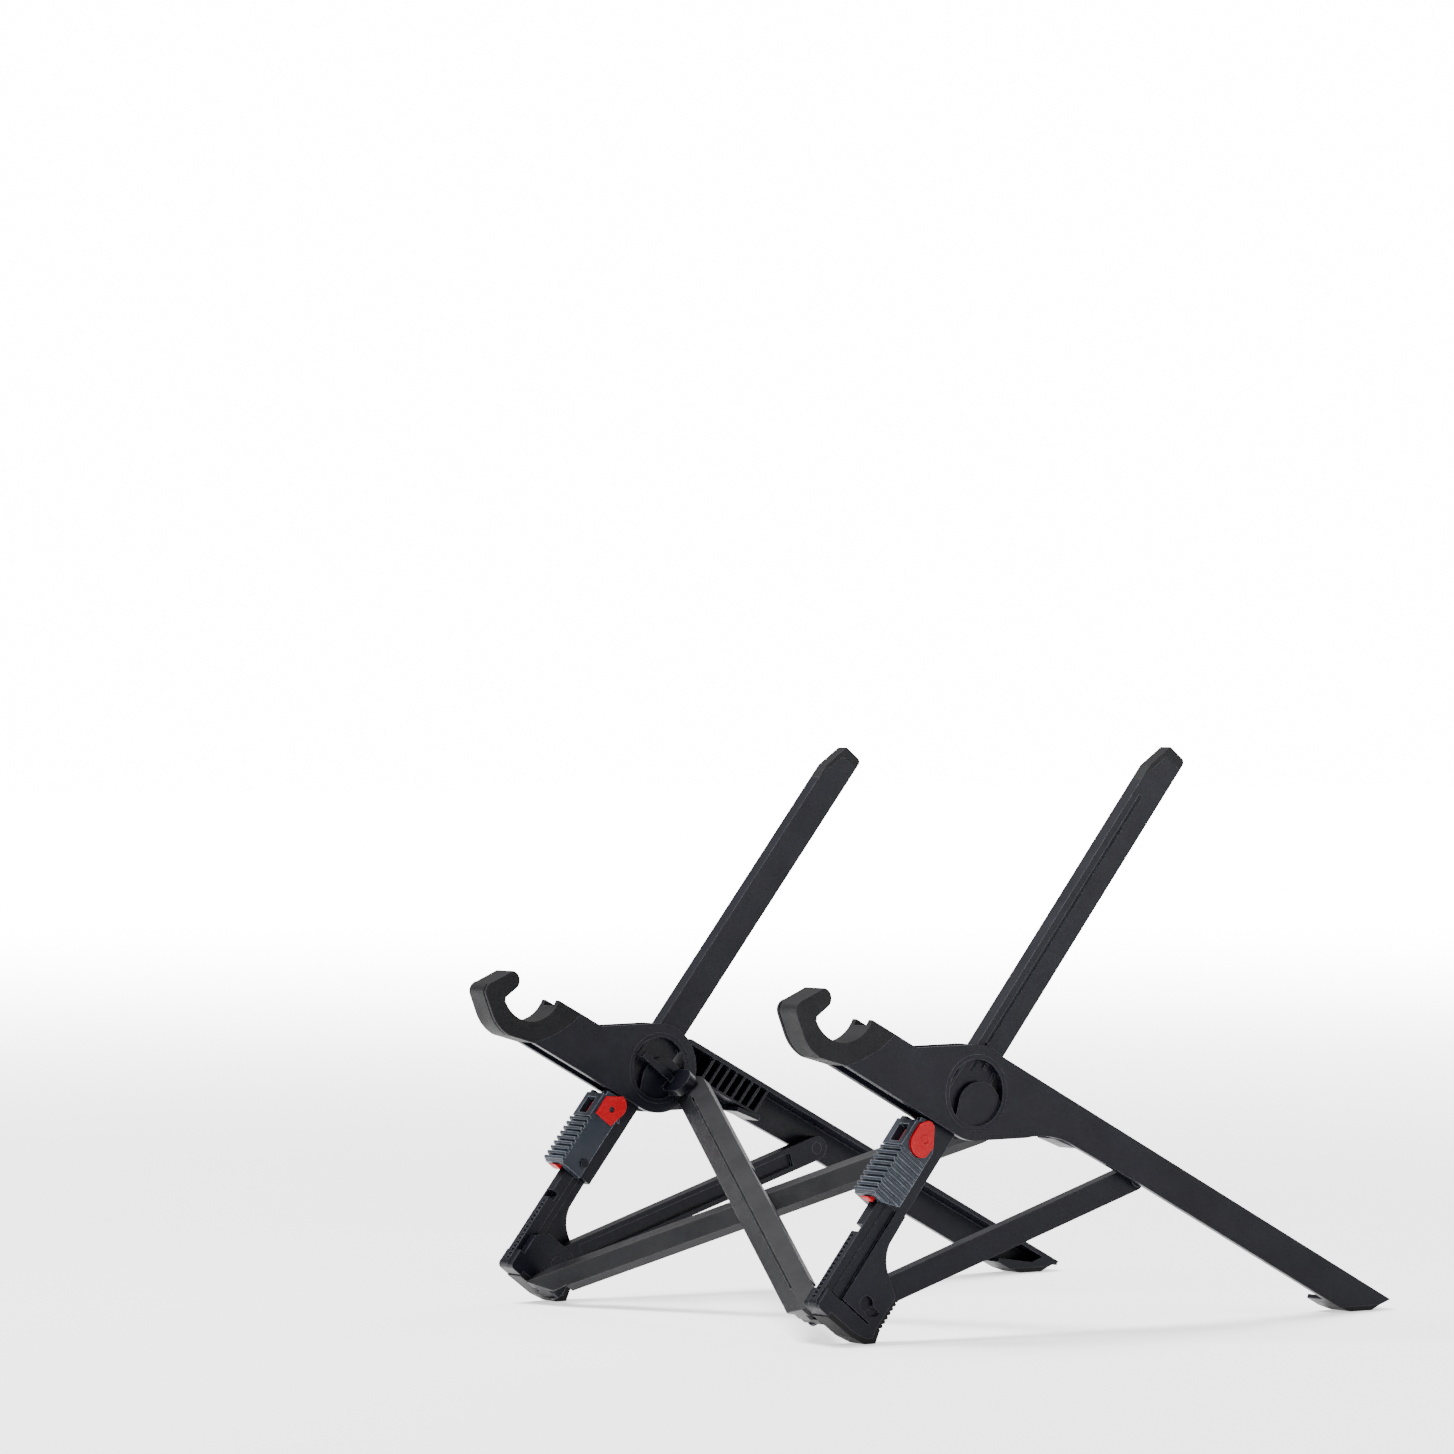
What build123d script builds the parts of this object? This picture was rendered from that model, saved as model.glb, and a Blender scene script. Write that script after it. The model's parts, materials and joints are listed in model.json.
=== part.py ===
from build123d import *
import math
import os

# Folding laptop riser: two side frames (post, arm, brace) joined by a pair of crossbars.
# +X is the right-hand side, +Y runs from the laptop hooks to the rear feet, +Z is up.
# Every side piece is drawn for the right-hand frame and mirrored for the left-hand one.

# ---- layout (millimetres and degrees) ----
SIDE_X = 110.0  # centre plane of each side frame
FOOT_Y = -113.444  # front foot pivot; centres the stand on the origin
FOOT_Z = 15.52
POST_ANGLE = 51.6  # lean of the posts above the floor
HUB_B = 93.7  # hub centre, measured along the post from the foot pivot
HUB_F = 9.6  # hub centre, measured square to the post towards the user
ARM_ANGLE = -27.8  # slope of the arm, falling to the rear
BRACE_LENGTH = 139.9
BRACE_ANGLE = 17.8

# ---- side frame layers, measured from the side centre plane ----
HALF_ARM = 6.5
PLATE_IN = 3.9  # inner face of the arm plates
HALF_POST = 3.2
DISC_IN = 3.3
DISC_OUT = 6.3

# ---- arm, in the arm frame (u along the arm to the rear, v square to it, upwards) ----
HUB_HOLE = 14.8
HUB_RING = 18.7
TAIL_TOP = 18.0
FLANGE = 2.0
SEAM_LOW = (-60.7, -18.2)
SEAM_MID = (-51.9, -9.0)
SEAM_TOP = (-45.4, 2.8)
SEAM_GAP = 0.06

# ---- post, in the post frame (b up the post, f square to it towards the user) ----
POST_BACK = 5.8
POST_FRONT = 18.9
POST_TOP = 256.0
POST_BEVEL = (241.3, 14.52)  # where the bevel starts on the front face and ends at the top
PAD_TOP = 260.5
PAD_BEVEL = (248.3, 15.26)
CHEEK_OUT = 3.6
CHEEK_IN = -6.5

# ---- crossbars ----
PIN_X = 95.7  # hinge pins, from the middle of the stand
PIN_LOW_B = -11.6
PIN_HIGH_B = 93.1
BAR_HALF = 109.08  # half the distance between the pins of one bar
BAR_SLANT = 0.0777  # forward drop per millimetre along the bar
BAR_WIDTH = 14.6
BAR_DEPTH = 7.0
BAR_ROOF = 3.3
BAR_SKIN = 4.0
BAR_RIM = 1.6
GROOVE = 0.9
GROOVE_DEPTH = 1.8
FRONT_RIDGE = 7.1  # ridge height of the front bar at the crossing
REAR_RIDGE = -0.2
END_FLAT = 8.5  # how far a flattened bar end reaches either side of its pin
PIN_R = 2.5
CENTRE_R = 3.2
FIT = 0.05


def side_frame(x, y, z, angle):
    """Drawing plane square to X at side position x, with its first axis at the given slope."""
    slope = math.radians(angle)
    return Plane(origin=(x, y, z), x_dir=(0, math.cos(slope), math.sin(slope)), z_dir=(1, 0, 0))


def post_frame(dx):
    return side_frame(SIDE_X + dx, FOOT_Y, FOOT_Z, POST_ANGLE)


HUB = post_frame(0).from_local_coords((HUB_B, HUB_F, 0))


def arm_frame(dx):
    return side_frame(SIDE_X + dx, HUB.Y, HUB.Z, ARM_ANGLE)


def brace_frame(dx):
    return side_frame(SIDE_X + dx, FOOT_Y, FOOT_Z, BRACE_ANGLE)


def cross_frame(f):
    """Plane square to the crossbar pins at depth f; first axis +X, second up the post."""
    base = post_frame(-SIDE_X)
    return Plane(origin=base.from_local_coords((0, f, 0)), x_dir=(1, 0, 0), z_dir=base.y_dir)


def trace(steps):
    """Closed outline: each step is a point, or a (through, end) pair for an arc."""
    here = steps[0]
    for step in steps[1:] + steps[:1]:
        if isinstance(step[0], tuple):
            ThreePointArc(here, step[0], step[1])
            here = step[1]
        elif step != here:
            Line(here, step)
            here = step


def slab(frame, low, high, steps, mode=Mode.ADD):
    """Plate between two side positions, with its outline drawn in a side frame."""
    with BuildSketch(frame(low)) as outline:
        with BuildLine():
            trace(steps)
        make_face()
    extrude(outline.sketch, amount=high - low, mode=mode)


def box_slab(frame, low, high, first, last, mode=Mode.ADD):
    """Rectangular plate between two side positions, given two opposite corners."""
    corners = [first, (last[0], first[1]), last, (first[0], last[1])]
    slab(frame, low, high, corners, mode)


def rod(frame, low, high, centre, radius, mode=Mode.ADD):
    """Round bar between two side positions."""
    with BuildSketch(frame(low)) as outline:
        with Locations(centre):
            Circle(radius)
    extrude(outline.sketch, amount=high - low, mode=mode)


def pin_along_f(x, b, low, high, radius, mode=Mode.ADD):
    """Round bar square to the crossbars, from depth low to depth high."""
    with BuildSketch(cross_frame(low)) as outline:
        with Locations((x, b)):
            Circle(radius)
    extrude(outline.sketch, amount=high - low, mode=mode)


def block_along_f(low, high, steps, mode=Mode.ADD):
    """Plate square to the crossbar pins, outline in (x, b)."""
    with BuildSketch(cross_frame(low)) as outline:
        with BuildLine():
            trace(steps)
        make_face()
    extrude(outline.sketch, amount=high - low, mode=mode)


# ---------------------------------------------------------------- arms
HUB_TANGENT = (-9.0, 16.4)
ARM_TIP = (229.3, 18.0)
SOLE_BACK = (225.2, 13.7)
SOLE_FRONT = (206.2, 3.7)
FRONT_OUTLINE = [SEAM_TOP, (-33.9, 2.7), HUB_TANGENT]

with BuildPart() as arm_right:
    # outer wall, full length
    wall = FRONT_OUTLINE + [
        ((-2.0, 18.59), (5.07, TAIL_TOP)),
        ARM_TIP,
        SOLE_BACK,
        SOLE_FRONT,
        (93.0, 3.6),
        (55.0, 2.6),
        ((40.5, 0.55), (30.0, -5.0)),
        (8.72, -16.54),
        ((4.5, -18.15), (0.0, -HUB_RING)),
        SEAM_LOW,
        (SEAM_MID, SEAM_TOP),
    ]
    slab(arm_frame, PLATE_IN, HALF_ARM, wall)
    # inner plate, closed round the hub
    inner = FRONT_OUTLINE + [
        ((-2.0, 18.59), (5.07, TAIL_TOP)),
        ((HUB_RING, 0.0), (0.0, -HUB_RING)),
        SEAM_LOW,
        (SEAM_MID, SEAM_TOP),
    ]
    slab(arm_frame, -HALF_ARM, -PLATE_IN, inner)
    # top flange of the tail, then the short lower lips that leave the middle open for the brace
    box_slab(arm_frame, -HALF_ARM, PLATE_IN + 0.2, (9.0, TAIL_TOP - FLANGE), (228.9, TAIL_TOP))
    slab(arm_frame, -HALF_ARM, PLATE_IN + 0.2, [(44.0, 1.3), (56.0, 2.7), (56.0, 4.6), (44.0, 3.2)])
    slab(
        arm_frame,
        -HALF_ARM,
        PLATE_IN + 0.2,
        [SOLE_FRONT, SOLE_BACK, ARM_TIP, (222.0, TAIL_TOP), (216.0, 11.4), (199.0, 5.4), (199.0, 3.7)],
    )
    # slanted stiffening ribs behind the hub
    for index in range(8):
        start = 21.5 + 4.4 * index
        slab(
            arm_frame,
            -HALF_ARM + 1.2,
            PLATE_IN + 0.2,
            [(start, 5.0), (start + 1.2, 5.0), (start + 3.4, 16.2), (start + 2.2, 16.2)],
        )
    box_slab(arm_frame, -HALF_ARM + 1.2, PLATE_IN + 0.2, (21.5, 4.4), (56.0, 5.4))
    # web that ties the two front plates together
    box_slab(arm_frame, -PLATE_IN - 0.2, PLATE_IN + 0.2, (-52.6, -15.4), (-22.0, -10.6))
    rod(arm_frame, -HALF_ARM, HALF_ARM, (0, 0), HUB_HOLE, Mode.SUBTRACT)
arm_right.part.label = "arm_right"

with BuildPart() as hook_pad_right:
    hook = [
        (SEAM_TOP[0] - SEAM_GAP, SEAM_TOP[1]),
        (-57.92, 2.8),
        ((-68.0, -11.75), (-81.3, -9.2)),
        (-81.9, -7.7),
        (-78.7, -1.4),
        ((-79.3, 1.9), (-83.6, 3.6)),
        (-90.3, -4.8),
        ((-92.0, -7.6), (-90.7, -11.2)),
        (-84.2, -16.8),
        ((-79.2, -19.7), (-72.8, -20.8)),
        (SEAM_LOW[0] - SEAM_GAP, SEAM_LOW[1]),
        ((SEAM_MID[0] - SEAM_GAP, SEAM_MID[1]), (SEAM_TOP[0] - SEAM_GAP, SEAM_TOP[1])),
    ]
    slab(arm_frame, -HALF_ARM, HALF_ARM, hook)
    # tongue gripped between the arm plates
    tongue = [(-54.0, -10.6), (-38.0, -10.6), (-38.0, -6.8), (-52.0, -6.8)]
    slab(arm_frame, SEAM_GAP - PLATE_IN, PLATE_IN - SEAM_GAP, tongue)
    # slot that lets the post top pass when the stand is folded
    slab(
        arm_frame,
        -PLATE_IN,
        PLATE_IN,
        [(-36.0, -6.4), (-50.0, -3.6), (-62.0, 2.2), (-62.0, 4.0), (-36.0, 4.0)],
        Mode.SUBTRACT,
    )
    # groove round the outside of the hook, near its inner face
    slab(
        arm_frame,
        -HALF_ARM + 1.2,
        -HALF_ARM + 2.1,
        [
            (-93.0, -6.2),
            (-93.0, -12.0),
            (-85.0, -19.5),
            (-79.0, -22.0),
            (-72.0, -22.5),
            (-72.0, -19.9),
            (-78.8, -18.6),
            (-83.5, -15.8),
            (-89.6, -10.5),
            (-90.9, -6.6),
        ],
        Mode.SUBTRACT,
    )
hook_pad_right.part.label = "hook_pad_right"

with BuildPart() as rear_sole_right:
    slab(arm_frame, -HALF_ARM, HALF_ARM, [SOLE_FRONT, (212.4, 4.7), (222.2, 9.85), SOLE_BACK])
    for index in range(4):
        start = 213.4 + 2.1 * index
        rise = 5.2 + 1.1 * index
        slab(
            arm_frame,
            -HALF_ARM,
            HALF_ARM,
            [(start, rise - 0.9), (start + 0.9, rise - 0.45), (start + 0.1, rise + 0.6)],
            Mode.SUBTRACT,
        )
rear_sole_right.part.label = "rear_sole_right"

# ---------------------------------------------------------------- posts
with BuildPart() as post_core:
    # upper bar with its bevelled top
    slab(
        post_frame,
        -HALF_POST,
        HALF_POST,
        [
            (36.0, POST_BACK),
            (POST_TOP, POST_BACK),
            (POST_TOP, POST_BEVEL[1]),
            (POST_BEVEL[0], POST_FRONT),
            (36.0, POST_FRONT),
        ],
    )
    # front rail of the lower post, on the inner side
    slab(
        post_frame,
        -HALF_POST,
        1.8,
        [
            (-14.2, 11.8),
            (-14.2, 16.4),
            ((-13.4, 18.2), (-11.6, POST_FRONT)),
            (37.0, POST_FRONT),
            (37.0, 14.0),
            (-6.0, 14.0),
        ],
    )
    # middle web and outer side plate with its flared heel
    box_slab(post_frame, 0.2, 2.2, (-6.0, 9.4), (37.0, 15.0))
    slab(
        post_frame,
        1.4,
        CHEEK_OUT,
        [
            (37.0, 10.3),
            (37.0, 5.6),
            (24.5, 5.3),
            ((18.9, 2.9), (14.4, -2.4)),
            (10.0, -9.7),
            (-5.2, -9.7),
            (-8.6, -10.6),
            (-10.6, -8.0),
            (-12.0, -2.0),
            (-12.17, 10.3),
        ],
    )
    # block that joins both cheeks under the brace
    slab(
        post_frame,
        CHEEK_IN,
        CHEEK_OUT,
        [
            (-6.0, 18.3),
            (-6.0, -9.7),
            (-8.6, -10.6),
            (-10.6, -8.0),
            (-12.0, -2.0),
            (-12.2, 11.8),
            (-14.2, 11.8),
            (-14.2, 16.4),
            ((-13.4, 17.9), (-11.6, 18.3)),
        ],
    )
    # inner cheek with a bridge to the rail
    slab(
        post_frame,
        CHEEK_IN,
        -4.5,
        [(-7.0, 16.0), (3.0, 16.0), (7.5, 11.0), (7.5, -3.0), (3.0, -9.7), (-7.0, -9.7)],
    )
    box_slab(post_frame, CHEEK_IN, -HALF_POST + 0.4, (-7.0, 12.4), (3.0, 16.0))
    # fine rack teeth on the front of the rail, inside a plain rim
    for index in range(16):
        start = -10.8 + 1.9 * index
        slab(
            post_frame,
            0.6 - HALF_POST,
            -0.4,
            [(start, POST_FRONT), (start + 1.3, POST_FRONT), (start + 1.1, POST_FRONT - 0.8)],
            Mode.SUBTRACT,
        )
    # latch notch above the rack
    box_slab(post_frame, -HALF_POST, 1.0, (20.4, 16.0), (23.8, POST_FRONT), Mode.SUBTRACT)
    # slit and half-moon pocket on the outer cheek
    box_slab(post_frame, 0.0, CHEEK_OUT, (-5.8, -5.4), (-5.1, 15.0), Mode.SUBTRACT)
    slab(
        post_frame,
        2.3,
        CHEEK_OUT,
        [(0.9, 2.1), (0.9, -7.5), ((-3.3, -2.7), (0.9, 2.1))],
        Mode.SUBTRACT,
    )
    # shallow groove along the upper bar
    box_slab(post_frame, HALF_POST - 0.5, HALF_POST, (100.0, 14.6), (236.0, 16.0), Mode.SUBTRACT)
    rod(post_frame, CHEEK_IN, CHEEK_OUT, (0, 0), 3.0 + FIT, Mode.SUBTRACT)


def hinge_lug(side, low, high):
    """Lug on the inner cheek that carries the lower end of a crossbar."""
    near = SIDE_X + CHEEK_IN
    top = PIN_LOW_B + 5.5
    bottom = PIN_LOW_B - 3.0
    steps = [
        (side * near, top),
        (side * PIN_X, top),
        ((side * (PIN_X - 5.5), PIN_LOW_B), (side * (PIN_X - 4.61), bottom)),
        (side * near, bottom),
    ]
    block_along_f(low, high, steps)
    pin_along_f(side * PIN_X, PIN_LOW_B, low, high, PIN_R + FIT, Mode.SUBTRACT)


RIGHT_LUG = (5.4, 8.4)
LEFT_LUG = (-1.9, 1.1)

with BuildPart() as post_right:
    add(post_core.part)
    hinge_lug(1, *RIGHT_LUG)
post_right.part.label = "post_right"

with BuildPart() as post_left:
    mirror(post_core.part, about=Plane.YZ)
    hinge_lug(-1, *LEFT_LUG)
post_left.part.label = "post_left"

with BuildPart() as top_pad_right:
    slab(
        post_frame,
        -HALF_POST,
        HALF_POST,
        [
            (POST_TOP, POST_BACK),
            (PAD_TOP - 2.0, POST_BACK),
            ((PAD_TOP - 0.6, POST_BACK + 0.6), (PAD_TOP, POST_BACK + 2.0)),
            (PAD_TOP, PAD_BEVEL[1]),
            (PAD_BEVEL[0], POST_FRONT),
            (POST_BEVEL[0], POST_FRONT),
            (POST_TOP, POST_BEVEL[1]),
        ],
    )
top_pad_right.part.label = "top_pad_right"

with BuildPart() as foot_sole_right:
    slab(
        post_frame,
        CHEEK_IN,
        CHEEK_OUT,
        [
            (10.0, -9.7),
            (10.0, -11.7),
            (-5.2, -11.7),
            (-9.5, -12.95),
            (-12.6, -9.04),
            (-14.2, -2.0),
            (-14.6, 11.8),
            (-12.2, 11.8),
            (-12.0, -2.0),
            (-10.6, -8.0),
            (-8.6, -10.6),
            (-5.2, -9.7),
        ],
    )
    for index in range(7):
        start = -4.4 + 2.05 * index
        slab(
            post_frame,
            CHEEK_IN,
            CHEEK_OUT,
            [(start, -11.7), (start + 0.5, -10.9), (start + 1.3, -11.7)],
            Mode.SUBTRACT,
        )
    # notch that the brace leaves through
    box_slab(post_frame, -4.6, 1.5, (4.4, -13.0), (11.0, -9.0), Mode.SUBTRACT)
foot_sole_right.part.label = "foot_sole_right"

# ---------------------------------------------------------------- braces and their pins
BRACE_LOW = -4.2
BRACE_HIGH = 1.1
with BuildPart() as brace_right:
    slab(
        brace_frame,
        BRACE_LOW,
        BRACE_HIGH,
        [
            (0.0, 5.1),
            (BRACE_LENGTH, 5.1),
            ((BRACE_LENGTH + 5.1, 0.0), (BRACE_LENGTH, -5.1)),
            (0.0, -5.1),
            ((-5.1, 0.0), (0.0, 5.1)),
        ],
    )
    box_slab(brace_frame, BRACE_LOW, BRACE_LOW + 1.6, (14.0, -2.9), (126.0, 2.9), Mode.SUBTRACT)
    rod(brace_frame, BRACE_LOW, BRACE_HIGH, (0, 0), 3.0 + FIT, Mode.SUBTRACT)
    rod(brace_frame, BRACE_LOW, BRACE_HIGH, (BRACE_LENGTH, 0), 2.4 + FIT, Mode.SUBTRACT)
brace_right.part.label = "brace_right"

with BuildPart() as foot_pin_right:
    rod(post_frame, CHEEK_IN + 0.1, 2.2, (0, 0), 3.0)
foot_pin_right.part.label = "foot_pin_right"

with BuildPart() as brace_pin_right:
    rod(brace_frame, BRACE_LOW, 3.6, (BRACE_LENGTH, 0), 2.4)
    rod(brace_frame, BRACE_HIGH, 3.6, (BRACE_LENGTH, 0), 3.6)
brace_pin_right.part.label = "brace_pin_right"

# ---------------------------------------------------------------- carriages
DISC_R = HUB_HOLE - FIT
RING_R = 13.0
GUIDE_WALL = 1.3
COVER = 1.8
COVER_MIDDLE = math.radians(30)
TAB = 0.45
HUB_AT = (HUB_B, HUB_F)


def hub_segment(chord, side):
    """Hollow part of the hub cylinder beyond a chord, bridging the post from ring to ring."""
    half = math.sqrt(DISC_R**2 - (chord - HUB_F) ** 2)
    steps = [
        (HUB_B - half, chord),
        ((HUB_B, HUB_F + side * DISC_R), (HUB_B + half, chord)),
    ]
    slab(post_frame, -DISC_IN - 0.1, DISC_IN + 0.1, steps)
    # open window left between the rim and the wall that guides the post
    wall = chord + side * GUIDE_WALL
    half = math.sqrt(RING_R**2 - (wall - HUB_F) ** 2)
    window = [
        (HUB_B - half, wall),
        ((HUB_B, HUB_F + side * RING_R), (HUB_B + half, wall)),
    ]
    slab(post_frame, -DISC_IN - 0.2, DISC_IN + 0.2, window, Mode.SUBTRACT)


def half_cover(low, high):
    """Web that closes the rear lower part of a trunnion ring."""
    radius = RING_R + 0.5
    top = (HUB_B + 4.0, HUB_F - math.sqrt(radius**2 - 4.0**2))
    foot = (HUB_B - math.sqrt(radius**2 - 1.0), HUB_F + 1.0)
    rim = (HUB_B - radius * math.sin(COVER_MIDDLE), HUB_F - radius * math.cos(COVER_MIDDLE))
    crown = (HUB_B + 3.2, HUB_F + 2.4)
    slab(post_frame, low, high, [top, (rim, foot), (HUB_B - 6.0, HUB_F + 4.4), (crown, top)])


with BuildPart() as carriage_core:
    for low in (DISC_IN, -DISC_OUT):
        with BuildSketch(post_frame(low)) as ring:
            with Locations(HUB_AT):
                Circle(DISC_R)
                Circle(RING_R, mode=Mode.SUBTRACT)
        extrude(ring.sketch, amount=DISC_OUT - DISC_IN)
    hub_segment(POST_FRONT + 0.1, 1)
    hub_segment(POST_BACK - 0.1, -1)
    half_cover(DISC_IN, DISC_IN + COVER)
    half_cover(-DISC_IN - COVER, -DISC_IN)
    # bar down the front of the post that the grip rides on
    box_slab(post_frame, -HALF_POST, HALF_POST, (36.0, POST_FRONT + 0.1), (84.0, 21.0))
    # small snap tab standing above the hub
    box_slab(post_frame, DISC_IN, DISC_IN + TAB, (104.0, 9.6), (113.5, 11.4))
    box_slab(post_frame, DISC_IN, DISC_IN + TAB, (112.0, 9.6), (113.5, 15.4))


def hub_tongue(side, low, high, block_low):
    """Tongue through the hub that carries the upper end of a crossbar, with a strap across the hub."""
    start = side * (SIDE_X - DISC_IN)
    neck = side * (SIDE_X - HALF_ARM - 0.6)
    half = 4.5
    top = PIN_HIGH_B + half
    bottom = PIN_HIGH_B - half
    block_along_f(low, high, [(start, top), (neck, top), (neck, bottom), (start, bottom)])
    tip = [
        (neck, PIN_HIGH_B + 5.5),
        (side * PIN_X, PIN_HIGH_B + 5.5),
        ((side * (PIN_X - 5.5), PIN_HIGH_B), (side * PIN_X, PIN_HIGH_B - 5.5)),
        (neck, PIN_HIGH_B - 5.5),
    ]
    block_along_f(block_low, high, tip)
    strap = [
        (neck, PIN_HIGH_B + 1.4),
        (neck - side * 1.6, PIN_HIGH_B + 1.4),
        (neck - side * 1.6, PIN_HIGH_B - 1.4),
        (neck, PIN_HIGH_B - 1.4),
    ]
    block_along_f(high - 0.5, 20.5, strap)
    pin_along_f(side * PIN_X, PIN_HIGH_B, block_low, high - 1.2, PIN_R + FIT, Mode.SUBTRACT)


RIGHT_TONGUE = (-2.2, 1.5, -8.0)
LEFT_TONGUE = (-1.1, 2.6, -1.1)

with BuildPart() as carriage_right:
    add(carriage_core.part)
    hub_tongue(1, *RIGHT_TONGUE)
carriage_right.part.label = "carriage_right"

with BuildPart() as carriage_left:
    mirror(carriage_core.part, about=Plane.YZ)
    hub_tongue(-1, *LEFT_TONGUE)
carriage_left.part.label = "carriage_left"

# ---------------------------------------------------------------- grips
GRIP_OUT = 6.5
GRIP_IN = -7.1
WALL_OUT = 3.5
GRIP_LOW = 34.0
GRIP_MID = 57.0
GRIP_BACK = 11.6
GRIP_FACE = 24.6
GRIP_TOP_BACK = 63.2
BUTTON_OUTLINE = [
    (62.6, 24.0),
    ((57.4, 19.4), (59.6, 13.9)),
    (64.4, 13.1),
    (71.0, 17.6),
    ((71.9, 19.8), (70.8, 22.2)),
    (68.2, 24.0),
]
SIDE_OUTLINE = [
    (GRIP_MID - 0.5, GRIP_BACK),
    (GRIP_TOP_BACK, GRIP_BACK),
    (72.0, 17.6),
    (70.8, GRIP_FACE),
    (GRIP_MID - 0.5, GRIP_FACE),
]
RIB_TOP = GRIP_FACE - 0.3

with BuildPart() as grip_right:
    # ribbed lower block, hollow round the post and the carriage bar
    box_slab(post_frame, GRIP_IN, GRIP_OUT - 0.7, (GRIP_LOW, GRIP_BACK), (GRIP_MID, GRIP_FACE))
    heel = [(GRIP_LOW - 0.1, 20.0), (GRIP_LOW + 3.4, GRIP_BACK - 0.1), (GRIP_LOW - 0.1, GRIP_BACK - 0.1)]
    slab(post_frame, WALL_OUT, GRIP_OUT, heel, Mode.SUBTRACT)
    # plain upper side walls and the window frame at the front
    slab(post_frame, WALL_OUT, GRIP_OUT - 0.9, SIDE_OUTLINE)
    slab(post_frame, GRIP_IN, -WALL_OUT, SIDE_OUTLINE)
    inner_edge = (GRIP_TOP_BACK, GRIP_BACK + 2.0)
    box_slab(post_frame, GRIP_IN, -WALL_OUT, (GRIP_LOW - 0.1, GRIP_BACK - 0.1), inner_edge, Mode.SUBTRACT)
    box_slab(post_frame, GRIP_IN, GRIP_OUT - 0.9, (GRIP_MID, 22.0), (68.8, 25.8))
    box_slab(post_frame, -WALL_OUT, WALL_OUT, (GRIP_LOW - 1.0, 5.0), (80.0, 23.1), Mode.SUBTRACT)
    box_slab(post_frame, -3.4, 2.6, (58.6, 22.0), (66.6, 26.0), Mode.SUBTRACT)
    # finger ribs over the front and grooves on the outer side
    for index in range(9):
        start = GRIP_LOW + 0.6 + 2.5 * index
        slab(
            post_frame,
            GRIP_IN,
            GRIP_OUT,
            [
                (start, RIB_TOP),
                (start + 1.7, RIB_TOP),
                (start + 1.5, GRIP_FACE + 1.5),
                (start + 0.5, GRIP_FACE + 1.1),
            ],
        )
        back = GRIP_BACK + max(0.5, 7.5 - 2.3 * (start - GRIP_LOW))
        box_slab(post_frame, GRIP_OUT - 0.9, GRIP_OUT, (start, back), (start + 1.5, GRIP_FACE - 0.2))
    # button opening
    with BuildSketch(post_frame(WALL_OUT)) as opening:
        with BuildLine():
            trace(BUTTON_OUTLINE)
        make_face()
        offset(amount=0.2)
    extrude(opening.sketch, amount=GRIP_OUT - WALL_OUT, mode=Mode.SUBTRACT)
grip_right.part.label = "grip_right"

with BuildPart() as lock_button_right:
    slab(post_frame, 5.0, 6.6, BUTTON_OUTLINE)
    # generic raised ring on the button face
    with BuildSketch(post_frame(6.6)) as emblem:
        with Locations((64.6, 18.2)):
            Circle(2.1)
            Circle(1.4, mode=Mode.SUBTRACT)
    extrude(emblem.sketch, amount=0.2)
lock_button_right.part.label = "lock_button_right"

with BuildPart() as latch_plate_right:
    slab(
        post_frame,
        GRIP_IN - 0.6,
        GRIP_IN,
        [(59.8, 24.2), (59.9, 14.8), (67.9, 12.6), ((71.6, 14.0), (73.2, 17.4)), (68.4, 24.2)],
    )
    rod(post_frame, GRIP_IN - 0.6, GRIP_IN, (65.6, 18.6), 1.3, Mode.SUBTRACT)
latch_plate_right.part.label = "latch_plate_right"

with BuildPart() as grip_pin_right:
    rod(post_frame, GRIP_IN - 0.8, GRIP_IN, (40.0, 15.6), 1.9)
grip_pin_right.part.label = "grip_pin_right"

with BuildPart() as pawl_right:
    slab(
        post_frame,
        -2.4,
        2.4,
        [(32.8, 21.1), (66.0, 21.1), (66.0, 22.9), (33.8, 22.9), (33.2, 24.2), (32.8, 24.2)],
    )
pawl_right.part.label = "pawl_right"

# ---------------------------------------------------------------- crossbars
CROSS_B = (PIN_LOW_B + PIN_HIGH_B) / 2
BAR_ANGLE = math.degrees(math.atan2(PIN_HIGH_B - PIN_LOW_B, 2 * PIN_X))


def bar_axes(side):
    """Unit directions along a bar (rising towards -side) and across it."""
    base = post_frame(-SIDE_X)
    rise = math.radians(BAR_ANGLE)
    along = Vector(-side * math.cos(rise), 0, 0) + base.x_dir * math.sin(rise)
    across = Vector(side * math.sin(rise), 0, 0) + base.x_dir * math.cos(rise)
    return along, across


def bar_end(side, low_f, high_f, start, finish, half, mode):
    """Block over part of a bar, measured along it from the crossing, square to the pins."""
    along = bar_axes(side)[0]
    base = post_frame(-SIDE_X)
    origin = base.from_local_coords((CROSS_B, low_f, 0))
    flat = Plane(origin=origin, x_dir=along, z_dir=base.y_dir)
    with BuildSketch(flat) as outline:
        with Locations(((start + finish) / 2, 0)):
            Rectangle(finish - start, 2 * half)
    extrude(outline.sketch, amount=high_f - low_f, mode=mode)


def bar_groove(side, ridge):
    """Narrow groove along the ridge of a bar, between its two end pins."""
    along, across = bar_axes(side)
    base = post_frame(-SIDE_X)
    slanted = (along - base.y_dir * BAR_SLANT).normalized()
    start = base.from_local_coords((CROSS_B, ridge, 0)) - slanted * (BAR_HALF - 12)
    with BuildSketch(Plane(origin=start, x_dir=across, z_dir=slanted)) as slot:
        Rectangle(GROOVE, 2 * GROOVE_DEPTH)
    extrude(slot.sketch, amount=2 * (BAR_HALF - 12), mode=Mode.SUBTRACT)


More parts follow.
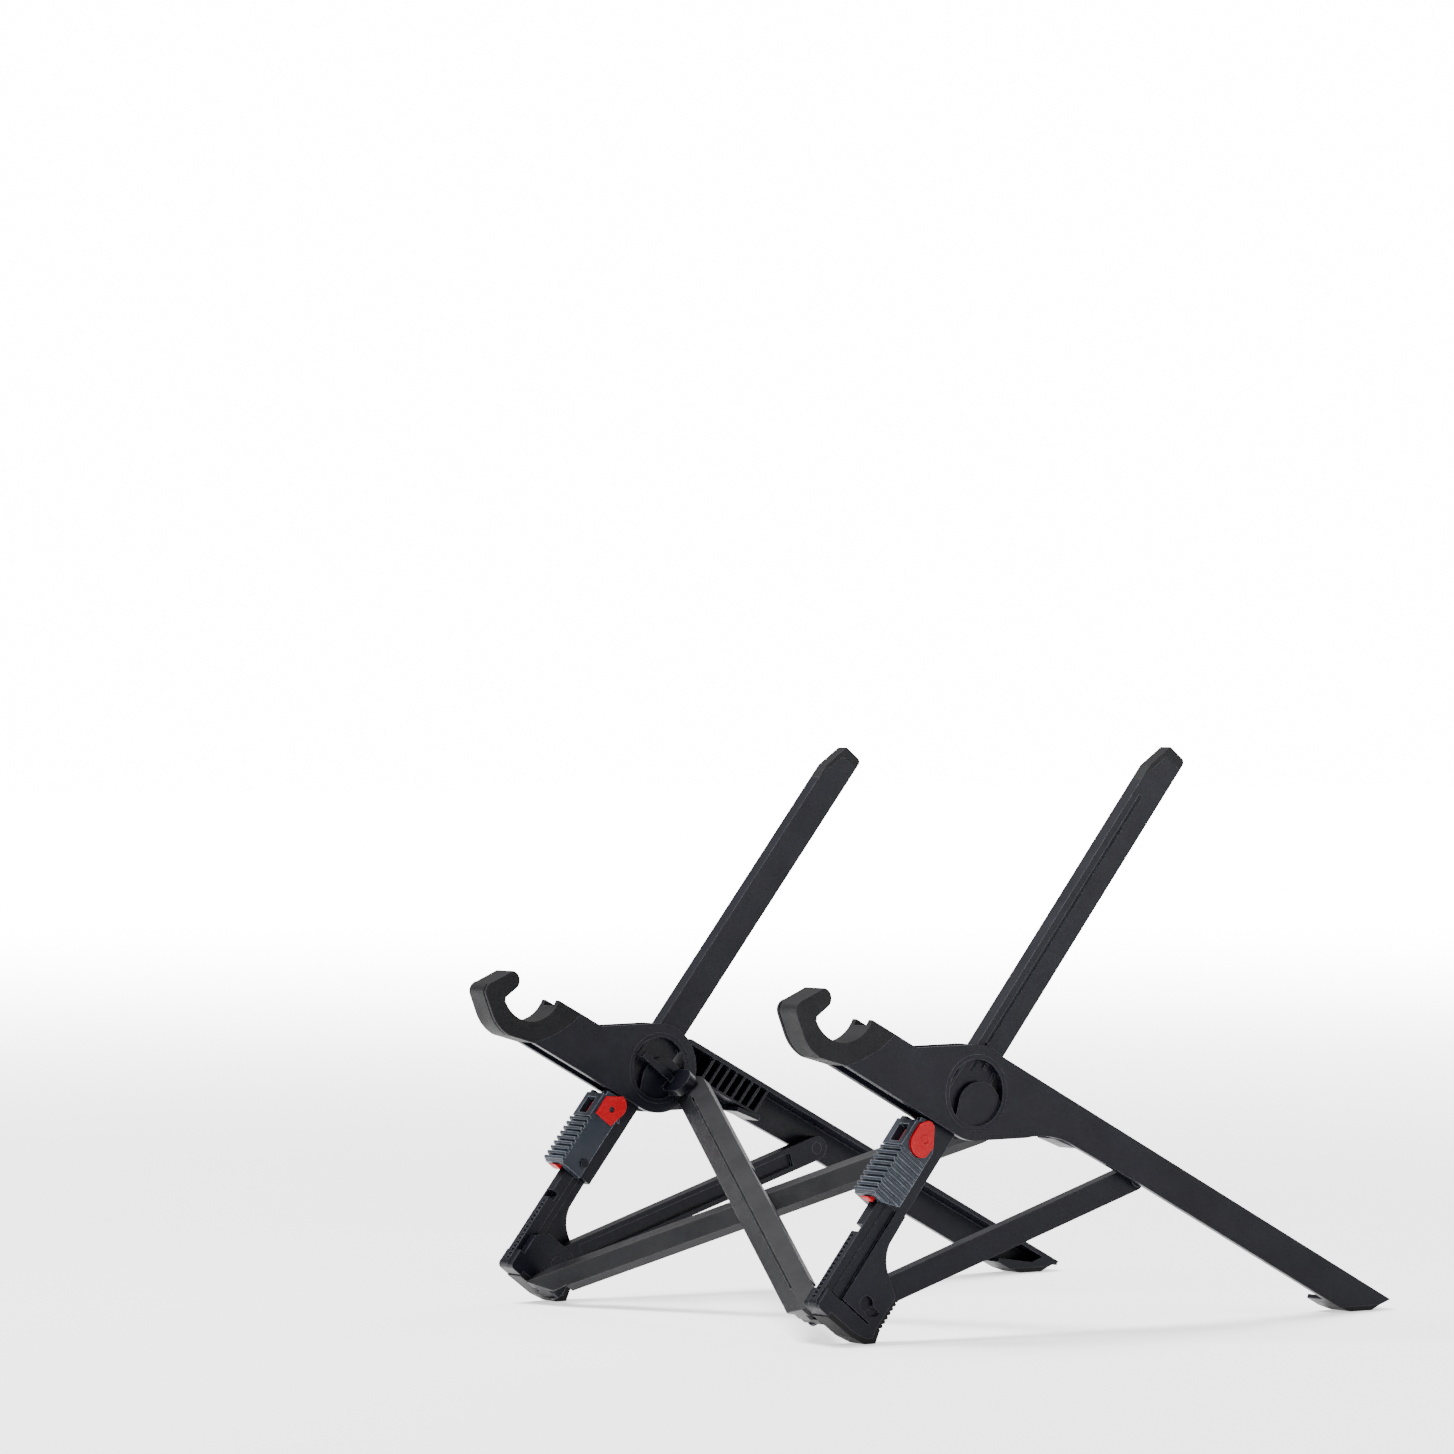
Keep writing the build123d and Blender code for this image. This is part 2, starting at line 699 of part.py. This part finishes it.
def bar_shape(side, ridge):
    """Roof-section bar, slanted so that its lower end stands forward, with rounded ends round its pins."""
    along, across = bar_axes(side)
    base = post_frame(-SIDE_X)
    slanted = (along - base.y_dir * BAR_SLANT).normalized()
    centre = base.from_local_coords((CROSS_B, ridge, 0))
    half = BAR_WIDTH / 2
    reach = BAR_HALF + half
    section = Plane(origin=centre - slanted * reach, x_dir=across, z_dir=slanted)
    up = 1 if section.y_dir.dot(base.y_dir) > 0 else -1
    with BuildSketch(section) as roof:
        with BuildLine():
            Polyline(
                (0, 0),
                (half, -up * BAR_ROOF),
                (half, -up * BAR_DEPTH),
                (half - BAR_RIM, -up * BAR_DEPTH),
                (half - BAR_RIM, -up * BAR_SKIN),
                (BAR_RIM - half, -up * BAR_SKIN),
                (BAR_RIM - half, -up * BAR_DEPTH),
                (-half, -up * BAR_DEPTH),
                (-half, -up * BAR_ROOF),
                close=True,
            )
        make_face()
    extrude(roof.sketch, amount=2 * reach)
    # stadium outline keeps both ends round about their pins
    below = base.from_local_coords((CROSS_B, -40, 0))
    with BuildSketch(Plane(origin=below, x_dir=along, z_dir=base.y_dir)) as stadium:
        SlotCenterToCenter(2 * BAR_HALF, BAR_WIDTH)
    extrude(stadium.sketch, amount=80, mode=Mode.INTERSECT)


def bar_boss(side, at, low_f, high_f, radius, mode=Mode.ADD):
    """Round boss or hole on a bar at a distance along it from the crossing."""
    along = bar_axes(side)[0]
    base = post_frame(-SIDE_X)
    origin = base.from_local_coords((CROSS_B, low_f, 0)) + along * at
    with BuildSketch(Plane(origin=origin, x_dir=along, z_dir=base.y_dir)) as spot:
        Circle(radius)
    extrude(spot.sketch, amount=high_f - low_f, mode=mode)


def finish_bar(side, ridge, lug_high, tongue_low):
    """Cut the rims back at both ends, flatten the upper end and add the pin bosses."""
    low_ridge = ridge + BAR_SLANT * BAR_HALF
    high_ridge = ridge - BAR_SLANT * BAR_HALF
    far = BAR_HALF + 12
    bar_end(side, low_ridge - 12, low_ridge - BAR_SKIN - 0.2, -far, -BAR_HALF + 13, 12, Mode.SUBTRACT)
    bar_boss(side, -BAR_HALF, lug_high + 0.2, low_ridge - BAR_SKIN + 0.4, 5.4)
    bar_boss(side, -BAR_HALF, lug_high, low_ridge - 1.6, PIN_R + FIT, Mode.SUBTRACT)
    bar_end(side, tongue_low - 0.3, tongue_low + 6, BAR_HALF - END_FLAT, far, 12, Mode.SUBTRACT)
    bar_boss(side, BAR_HALF, high_ridge - BAR_DEPTH + 0.6, high_ridge - BAR_SKIN + 0.4, 5.4)
    bar_boss(side, BAR_HALF, high_ridge - BAR_DEPTH, tongue_low + 1, PIN_R + FIT, Mode.SUBTRACT)


with BuildPart() as crossbar_front:
    bar_shape(1, FRONT_RIDGE)
    bar_groove(1, FRONT_RIDGE)
    bar_end(1, -12, FRONT_RIDGE - BAR_SKIN - 1.4, -16.5, 16.5, 12, Mode.SUBTRACT)
    bar_boss(1, 0, REAR_RIDGE + 0.3, FRONT_RIDGE - BAR_SKIN + 0.4, 5.4)
    bar_boss(1, 0, REAR_RIDGE, FRONT_RIDGE - 2.6, CENTRE_R + FIT, Mode.SUBTRACT)
    finish_bar(1, FRONT_RIDGE, RIGHT_LUG[1], LEFT_TONGUE[2])
    # trim the lower end level with the foot
    block_along_f(-40, 40, [(60, -15.2), (120, -15.2), (120, -30), (60, -30)], Mode.SUBTRACT)
crossbar_front.part.label = "crossbar_front"

with BuildPart() as crossbar_rear:
    bar_shape(-1, REAR_RIDGE)
    bar_boss(-1, 0, REAR_RIDGE - BAR_DEPTH + 0.6, REAR_RIDGE - BAR_SKIN + 0.4, 5.4)
    bar_end(-1, REAR_RIDGE - 0.2, REAR_RIDGE + 6, -6.0, 6.0, 5.6, Mode.SUBTRACT)
    bar_boss(-1, 0, -20, 20, CENTRE_R + FIT, Mode.SUBTRACT)
    finish_bar(-1, REAR_RIDGE, LEFT_LUG[1], RIGHT_TONGUE[2])
    block_along_f(-40, 40, [(-60, -15.2), (-120, -15.2), (-120, -30), (-60, -30)], Mode.SUBTRACT)
crossbar_rear.part.label = "crossbar_rear"

with BuildPart() as centre_pin:
    pin_along_f(0, CROSS_B, REAR_RIDGE - BAR_DEPTH, FRONT_RIDGE - 2.7, CENTRE_R)
    pin_along_f(0, CROSS_B, REAR_RIDGE - BAR_DEPTH - 0.6, REAR_RIDGE - BAR_DEPTH + 0.5, 4.6)
centre_pin.part.label = "centre_pin"


def hinge_pin(x, b, low, high, head):
    """Shouldered hinge pin; its flat head is at the low end."""
    pin_along_f(x, b, low, high, PIN_R)
    pin_along_f(x, b, low - head, low, PIN_R + 1.2)


LOW_DEPTH = BAR_SLANT * BAR_HALF
with BuildPart() as foot_hinge_pin_right:
    hinge_pin(PIN_X, PIN_LOW_B, RIGHT_LUG[0] - 0.1, FRONT_RIDGE + LOW_DEPTH - 1.8, 1.0)
foot_hinge_pin_right.part.label = "foot_hinge_pin_right"

with BuildPart() as foot_hinge_pin_left:
    hinge_pin(-PIN_X, PIN_LOW_B, LEFT_LUG[0] - 0.1, REAR_RIDGE + LOW_DEPTH - 1.8, 1.0)
foot_hinge_pin_left.part.label = "foot_hinge_pin_left"

with BuildPart() as hub_hinge_pin_right:
    hinge_pin(PIN_X, PIN_HIGH_B, REAR_RIDGE - LOW_DEPTH - BAR_DEPTH + 0.5, RIGHT_TONGUE[1] - 1.3, 1.0)
hub_hinge_pin_right.part.label = "hub_hinge_pin_right"

with BuildPart() as hub_hinge_pin_left:
    hinge_pin(-PIN_X, PIN_HIGH_B, FRONT_RIDGE - LOW_DEPTH - BAR_DEPTH + 0.5, LEFT_TONGUE[1] - 1.3, 1.0)
hub_hinge_pin_left.part.label = "hub_hinge_pin_left"

# ---------------------------------------------------------------- left-hand copies and export
right_hand = [
    arm_right,
    hook_pad_right,
    rear_sole_right,
    top_pad_right,
    foot_sole_right,
    brace_right,
    foot_pin_right,
    brace_pin_right,
    grip_right,
    lock_button_right,
    latch_plate_right,
    grip_pin_right,
    pawl_right,
]
pieces = [
    post_right,
    post_left,
    carriage_right,
    carriage_left,
    crossbar_front,
    crossbar_rear,
    centre_pin,
    foot_hinge_pin_right,
    foot_hinge_pin_left,
    hub_hinge_pin_right,
    hub_hinge_pin_left,
]

os.makedirs("parts", exist_ok=True)
for piece in pieces + right_hand:
    export_step(piece.part, "parts/" + piece.part.label + ".step")
for piece in right_hand:
    with BuildPart() as twin:
        mirror(piece.part, about=Plane.YZ)
    twin.part.label = piece.part.label.replace("_right", "_left")
    export_step(twin.part, "parts/" + twin.part.label + ".step")
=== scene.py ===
"""Looks of a folding laptop stand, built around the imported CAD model."""

import json

import bpy
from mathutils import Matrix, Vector

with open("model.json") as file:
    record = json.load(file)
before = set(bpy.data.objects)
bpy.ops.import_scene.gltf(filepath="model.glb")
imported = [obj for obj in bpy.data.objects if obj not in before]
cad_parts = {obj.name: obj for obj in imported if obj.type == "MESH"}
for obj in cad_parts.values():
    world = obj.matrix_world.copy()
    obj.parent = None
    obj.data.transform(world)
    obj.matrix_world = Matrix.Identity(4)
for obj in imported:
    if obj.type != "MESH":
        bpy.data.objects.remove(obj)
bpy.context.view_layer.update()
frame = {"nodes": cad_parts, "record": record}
nodes = frame["nodes"]
MM = 0.001

# ---- plastics: colours in linear light (edge is a painted highlight along sharp edges), roughness range, grain per metre ----
PLASTICS = {
    "frame_plastic": {
        "dark": (0.0014, 0.0014, 0.0034, 1),
        "light": (0.0034, 0.0035, 0.0068, 1),
        "edge": (0.085, 0.087, 0.105, 1),
        "rough": (0.32, 0.44),
        "grain": 1500,
        "grain_strength": 0.10,
        "specular": 0.11,
    },
    "crossbar_plastic": {
        "dark": (0.0036, 0.0036, 0.0048, 1),
        "light": (0.0074, 0.0074, 0.0092, 1),
        "edge": (0.095, 0.095, 0.105, 1),
        "rough": (0.36, 0.50),
        "grain": 900,
        "grain_strength": 0.34,
        "specular": 0.20,
    },
    "rubber": {
        "dark": (0.0020, 0.0020, 0.0026, 1),
        "light": (0.0042, 0.0042, 0.0052, 1),
        "edge": (0.045, 0.045, 0.052, 1),
        "rough": (0.48, 0.64),
        "grain": 1800,
        "grain_strength": 0.20,
        "specular": 0.12,
    },
    "grip_plastic": {
        "dark": (0.0075, 0.0095, 0.0150, 1),
        "light": (0.0145, 0.0180, 0.0265, 1),
        "edge": (0.300, 0.340, 0.390, 1),
        "rough": (0.32, 0.44),
        "grain": 1500,
        "grain_strength": 0.10,
        "specular": 0.16,
    },
    "red_plastic": {
        "dark": (0.2300, 0.0004, 0.0030, 1),
        "light": (0.3100, 0.0010, 0.0055, 1),
        "edge": (0.460, 0.010, 0.020, 1),
        "rough": (0.30, 0.42),
        "grain": 1600,
        "grain_strength": 0.04,
        "specular": 0.12,
    },
}

# ---- plated steel of the pins ----
STEEL_DARK = (0.0300, 0.0300, 0.0340, 1)
STEEL_LIGHT = (0.0650, 0.0650, 0.0700, 1)
# painted highlight colour along the pins' sharp edges
STEEL_EDGE_HIGHLIGHT = (0.14, 0.14, 0.15, 1)
STEEL_ROUGH = (0.28, 0.42)

# ---- surface patterns, in features per metre ----
CLOUDS = 38
SPECKLE = 900
HIGHLIGHT_BREAKUP = 260
SHEEN = 70
WAVES = 110
TURNING_MARKS = 600
FLOOR_MOTTLE = 3

# ---- edges and relief ----
PLASTIC_ROUNDING = 0.40 * MM
STEEL_ROUNDING = 0.2 * MM
PLASTIC_RELIEF = 0.12 * MM
STEEL_RELIEF = 0.05 * MM
WAVE_STRENGTH = 0.05
MARK_STRENGTH = 0.12
# cosine of the angle between the rounded and the flat normal
EDGE_STARTS = 0.995
EDGE_IS_FULL = 0.80
# the part of a noise's range that its values mostly fall in
NOISE_LOW = 0.3
NOISE_HIGH = 0.7

# ---- floor, surround and lamps ----
FLOOR_SIZE = 60
FLOOR_DROP = 0.2 * MM
FLOOR_DARK = (0.87, 0.87, 0.875, 1)
FLOOR_LIGHT = (0.90, 0.90, 0.90, 1)
FLOOR_ROUGH = 0.6
FLOOR_GLOW = 0.9
FADE_STARTS = 0.4
FADE_ENDS = 6.0
WHITE = (1, 1, 1, 1)
SURROUND = 0.75  # light from all round
BACKDROP = 16.0  # how bright the backdrop looks
STAND_MIDDLE = (0, 0, 0.1)
# each lamp: name, position, width and power in watts
LAMPS = (
    ("key", (-0.5, -0.9, 1.8), 0.9, 110),
    ("side", (1.6, -0.4, 1.5), 0.8, 10),
    ("back", (-0.6, 1.6, 1.2), 1.0, 30),
)

# ---- camera ----
CAMERA_PLACE = (1.9597, -1.4545, 0.2259)
CAMERA_DIRECTION = (-0.8226, 0.5686, 0.0047)
LENS_MM = 147.3
SENSOR_MM = 36


# ---------------------------------------------------------------- node helpers
class Graph:
    """Small wrapper round one material's node tree."""

    def __init__(self, name):
        self.material = bpy.data.materials.new(name)
        self.material.use_nodes = True
        self.tree = self.material.node_tree
        self.shader = self.tree.nodes["Principled BSDF"]
        self.coords = self.add("ShaderNodeTexCoord").outputs["Object"]

    def add(self, kind, **settings):
        """Adds a node and sets the settings named."""
        node = self.tree.nodes.new(kind)
        for key, value in settings.items():
            setattr(node, key, value)
        return node

    def link(self, source, target):
        """Joins an output socket to an input socket."""
        self.tree.links.new(source, target)

    def noise(self, scale, detail=4.0, rough=0.55, stretch=(1, 1, 1)):
        """Noise in object coordinates; scale is features per metre."""
        mapping = self.add("ShaderNodeMapping")
        mapping.inputs["Scale"].default_value = stretch
        self.link(self.coords, mapping.inputs["Vector"])
        texture = self.add("ShaderNodeTexNoise")
        texture.inputs["Scale"].default_value = scale
        texture.inputs["Detail"].default_value = detail
        texture.inputs["Roughness"].default_value = rough
        self.link(mapping.outputs["Vector"], texture.inputs["Vector"])
        return texture.outputs["Fac"]

    def ramp(self, source, low, high):
        """Maps the middle of a noise's range onto low to high."""
        node = self.add("ShaderNodeMapRange")
        node.inputs["From Min"].default_value = NOISE_LOW
        node.inputs["From Max"].default_value = NOISE_HIGH
        node.inputs["To Min"].default_value = low
        node.inputs["To Max"].default_value = high
        self.link(source, node.inputs["Value"])
        return node.outputs["Result"]

    def mix(self, factor, first, second):
        """Mixes two colours; each is a fixed colour or a socket."""
        node = self.add("ShaderNodeMix", data_type="RGBA")
        self.link(factor, node.inputs["Factor"])
        for value, socket in ((first, node.inputs[6]), (second, node.inputs[7])):
            if isinstance(value, tuple):
                socket.default_value = value
            else:
                self.link(value, socket)
        return node.outputs[2]

    def edge_mask(self, radius):
        """Gives the rounded normal, and a mask near 1 along sharp edges and 0 on open faces."""
        soft = self.add("ShaderNodeBevel", samples=6)
        soft.inputs["Radius"].default_value = radius
        flat = self.add("ShaderNodeNewGeometry")
        dot = self.add("ShaderNodeVectorMath", operation="DOT_PRODUCT")
        self.link(soft.outputs["Normal"], dot.inputs[0])
        self.link(flat.outputs["Normal"], dot.inputs[1])
        mask = self.add("ShaderNodeMapRange")
        mask.inputs["From Min"].default_value = EDGE_STARTS
        mask.inputs["From Max"].default_value = EDGE_IS_FULL
        self.link(dot.outputs["Value"], mask.inputs["Value"])
        return soft.outputs["Normal"], mask.outputs["Result"]

    def bump(self, heights, normal, distance):
        """Stacks bump layers, given as (height socket, strength), on a normal."""
        for height, strength in heights:
            node = self.add("ShaderNodeBump")
            node.inputs["Strength"].default_value = strength
            node.inputs["Distance"].default_value = distance
            self.link(height, node.inputs["Height"])
            self.link(normal, node.inputs["Normal"])
            normal = node.outputs["Normal"]
        self.link(normal, self.shader.inputs["Normal"])


# ---------------------------------------------------------------- materials
def moulded(name, dark, light, edge, rough, grain, grain_strength, specular):
    """Moulded plastic: mottled colour, fine grain, rounded edges with a painted highlight
    broken up by noise.
    """
    graph = Graph(name)
    shader = graph.shader
    normal, mask = graph.edge_mask(PLASTIC_ROUNDING)
    clouds = graph.noise(CLOUDS, detail=3)
    speckle = graph.noise(SPECKLE, detail=2)
    body = graph.mix(graph.ramp(clouds, 0.0, 1.0), dark, light)
    body = graph.mix(graph.ramp(speckle, 0.0, 0.30), body, light)
    # painted highlight: the lighter edge colour along sharp edges, broken up by noise
    highlight_breakup = graph.noise(HIGHLIGHT_BREAKUP, detail=6, rough=0.7)
    painted_edge_highlight = graph.add("ShaderNodeMath", operation="MULTIPLY")
    graph.link(mask, painted_edge_highlight.inputs[0])
    graph.link(graph.ramp(highlight_breakup, 0.25, 0.95), painted_edge_highlight.inputs[1])
    colour = graph.mix(painted_edge_highlight.outputs["Value"], body, edge)
    graph.link(colour, shader.inputs["Base Color"])
    sheen = graph.noise(SHEEN, detail=5, rough=0.65)
    graph.link(graph.ramp(sheen, *rough), shader.inputs["Roughness"])
    fine = graph.noise(grain, detail=2)
    waves = graph.noise(WAVES, detail=2)
    graph.bump([(fine, grain_strength), (waves, WAVE_STRENGTH)], normal, PLASTIC_RELIEF)
    shader.inputs["Specular IOR Level"].default_value = specular
    return graph.material


def plated_steel(name):
    """Dark plated steel with fine turning marks and a painted highlight along sharp edges."""
    graph = Graph(name)
    shader = graph.shader
    normal, mask = graph.edge_mask(STEEL_ROUNDING)
    marks = graph.noise(TURNING_MARKS, detail=3, stretch=(1, 6, 6))
    body = graph.mix(graph.ramp(marks, 0.0, 1.0), STEEL_DARK, STEEL_LIGHT)
    # painted highlight: lighter colour along sharp edges
    graph.link(graph.mix(mask, body, STEEL_EDGE_HIGHLIGHT), shader.inputs["Base Color"])
    graph.link(graph.ramp(marks, *STEEL_ROUGH), shader.inputs["Roughness"])
    graph.bump([(marks, MARK_STRENGTH)], normal, STEEL_RELIEF)
    shader.inputs["Metallic"].default_value = 1.0
    return graph.material


MATERIALS = {name: moulded(name, **look) for name, look in PLASTICS.items()}
MATERIALS["pin_steel"] = plated_steel("pin_steel")

for part in frame["record"]["subparts"]:
    mesh = nodes[part["node"]].data
    mesh.materials.clear()
    mesh.materials.append(MATERIALS[part["material_slot"]])


# ---------------------------------------------------------------- studio
def studio_floor():
    """Large pale floor with a faint mottle that fades to white far from the stand."""
    bpy.ops.mesh.primitive_plane_add(size=FLOOR_SIZE, location=(0, 0, -FLOOR_DROP))
    floor = bpy.context.object
    floor.name = "floor"
    graph = Graph("floor_white")
    shader = graph.shader
    mottle = graph.ramp(graph.noise(FLOOR_MOTTLE), 0, 1)
    graph.link(graph.mix(mottle, FLOOR_DARK, FLOOR_LIGHT), shader.inputs["Base Color"])
    shader.inputs["Roughness"].default_value = FLOOR_ROUGH
    distance = graph.add("ShaderNodeVectorMath", operation="LENGTH")
    graph.link(graph.coords, distance.inputs[0])
    fade = graph.add("ShaderNodeMapRange", interpolation_type="SMOOTHSTEP")
    fade.inputs["From Min"].default_value = FADE_STARTS
    fade.inputs["From Max"].default_value = FADE_ENDS
    graph.link(distance.outputs["Value"], fade.inputs["Value"])
    near = (FLOOR_GLOW, FLOOR_GLOW, FLOOR_GLOW, 1)
    far = (BACKDROP, BACKDROP, BACKDROP, 1)
    graph.link(graph.mix(fade.outputs["Result"], near, far), shader.inputs["Emission Color"])
    shader.inputs["Emission Strength"].default_value = 1.0
    floor.data.materials.append(graph.material)


def facing(direction):
    """Rotation that turns a lamp or camera to look along a direction."""
    return Vector(direction).to_track_quat("-Z", "Y").to_euler()


def area_light(name, position, width, power):
    """Soft square lamp at position, turned to face the middle of the stand."""
    data = bpy.data.lights.new(name, "AREA")
    data.size = width
    data.energy = power
    lamp = bpy.data.objects.new(name, data)
    lamp.location = position
    lamp.rotation_euler = facing(Vector(STAND_MIDDLE) - Vector(position))
    bpy.context.scene.collection.objects.link(lamp)


def background(tree, strength):
    """White background shader of the given strength."""
    node = tree.nodes.new("ShaderNodeBackground")
    node.inputs["Color"].default_value = WHITE
    node.inputs["Strength"].default_value = strength
    return node.outputs["Background"]


def surround():
    """White light from all round, brighter where it is seen directly."""
    world = bpy.data.worlds.new("studio")
    world.use_nodes = True
    tree = world.node_tree
    path = tree.nodes.new("ShaderNodeLightPath")
    blend = tree.nodes.new("ShaderNodeMixShader")
    tree.links.new(path.outputs["Is Camera Ray"], blend.inputs["Fac"])
    tree.links.new(background(tree, SURROUND), blend.inputs[1])
    tree.links.new(background(tree, BACKDROP), blend.inputs[2])
    tree.links.new(blend.outputs["Shader"], tree.nodes["World Output"].inputs["Surface"])
    bpy.context.scene.world = world


def photo_camera():
    """Long lens, low three-quarter view from the right front."""
    data = bpy.data.cameras.new("camera")
    data.lens = LENS_MM
    data.sensor_width = SENSOR_MM
    camera = bpy.data.objects.new("camera", data)
    camera.location = CAMERA_PLACE
    camera.rotation_euler = facing(CAMERA_DIRECTION)
    bpy.context.scene.collection.objects.link(camera)
    bpy.context.scene.camera = camera


studio_floor()
surround()
for lamp_settings in LAMPS:
    area_light(*lamp_settings)
photo_camera()
